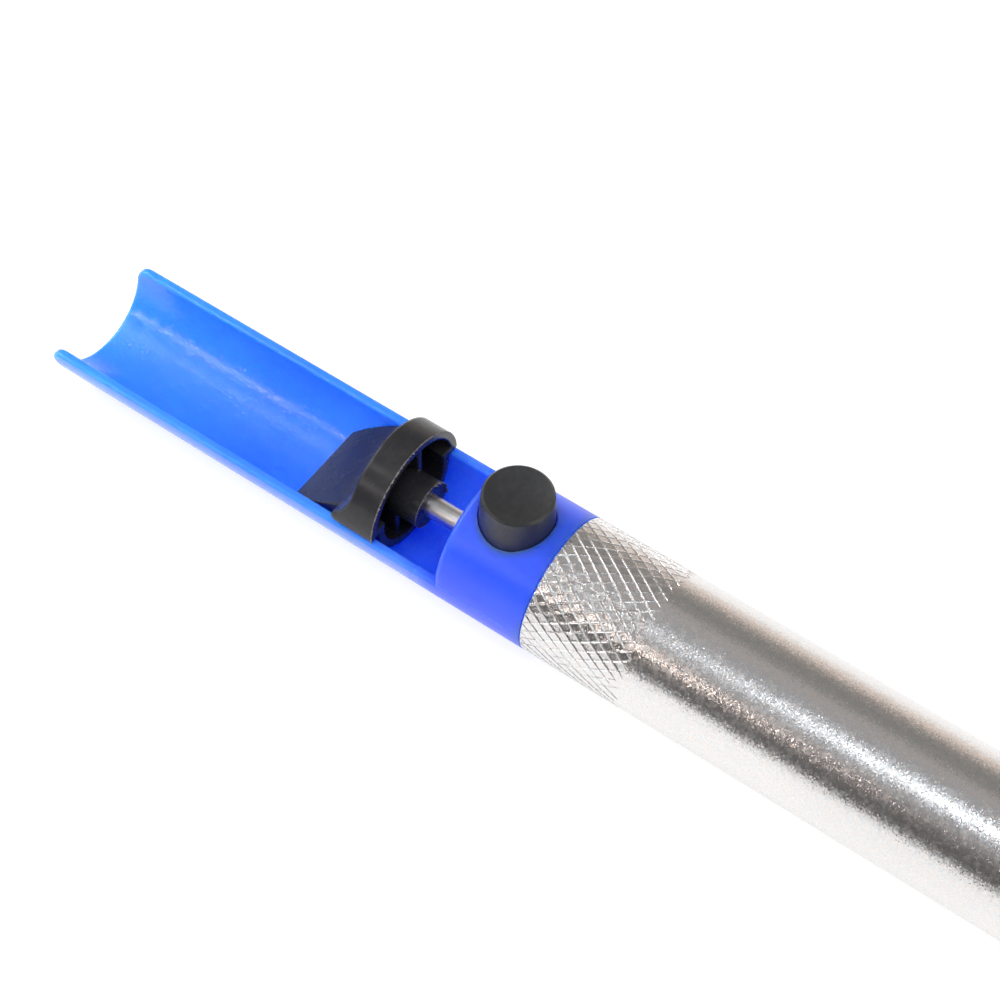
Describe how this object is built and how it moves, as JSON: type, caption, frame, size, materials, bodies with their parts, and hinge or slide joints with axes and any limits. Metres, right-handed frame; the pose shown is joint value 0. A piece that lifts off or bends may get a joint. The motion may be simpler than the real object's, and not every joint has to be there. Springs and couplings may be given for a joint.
{
  "type": "desoldering pump",
  "caption": "Spring-driven solder sucker: knurled metal tube, blue cap with a half-pipe guard, black thumb handle on a steel rod, release button, nose cone and nozzle.",
  "frame": {"origin": "centre of the nozzle's tip, on the pump's axis", "axes": "+X along the pump's axis, out of the nozzle; +Z out of the release button; +Y completes a right-handed set"},
  "size_m": [0.195, 0.02, 0.0243],
  "materials": {
    "barrel_metal": "satin",
    "blue_plastic": "glossy, slightly translucent",
    "black_plastic": "semi-gloss",
    "button_plastic": "matt",
    "rod_steel": "ground",
    "spring_steel": "drawn wire",
    "zinc_steel": "zinc plated",
    "seal_rubber": "matt",
    "nozzle_white": "waxy",
    "piston_nylon": "satin"
  },
  "bodies": {
    "barrel": {"barrel_tube": "barrel_metal", "guard_cap": "blue_plastic", "rear_bumper": "seal_rubber", "main_spring": "spring_steel", "button_spring": "spring_steel"},
    "plunger": {"plunger_rod": "rod_steel", "thumb_handle": "black_plastic", "piston": "piston_nylon", "piston_o_ring": "seal_rubber", "piston_clip": "zinc_steel", "piston_washer": "zinc_steel", "piston_nut": "zinc_steel", "cleaning_pin": "rod_steel"},
    "button": {"release_button": "button_plastic", "latch_plate": "zinc_steel"},
    "nose": {"nose_cone": "blue_plastic", "nose_o_ring": "seal_rubber", "nozzle": "nozzle_white", "nozzle_o_ring": "seal_rubber", "spring_seat": "zinc_steel"}
  },
  "joints": [
    {"name": "plunger_slide", "type": "slide", "parent": "barrel", "child": "plunger", "axis": [-1, 0, 0], "range_m": [-0.0015, 0.038], "deforming": ["main_spring"]},
    {"name": "button_press", "type": "slide", "parent": "barrel", "child": "button", "axis": [0, 0, -1], "range_m": [0, 0.0025], "stiffness_N_per_m": 300, "springref_m": -0.002, "deforming": ["button_spring"]},
    {"name": "nose_pull", "type": "slide", "parent": "barrel", "child": "nose", "axis": [1, 0, 0], "range_m": [0, 0.012]}
  ]
}
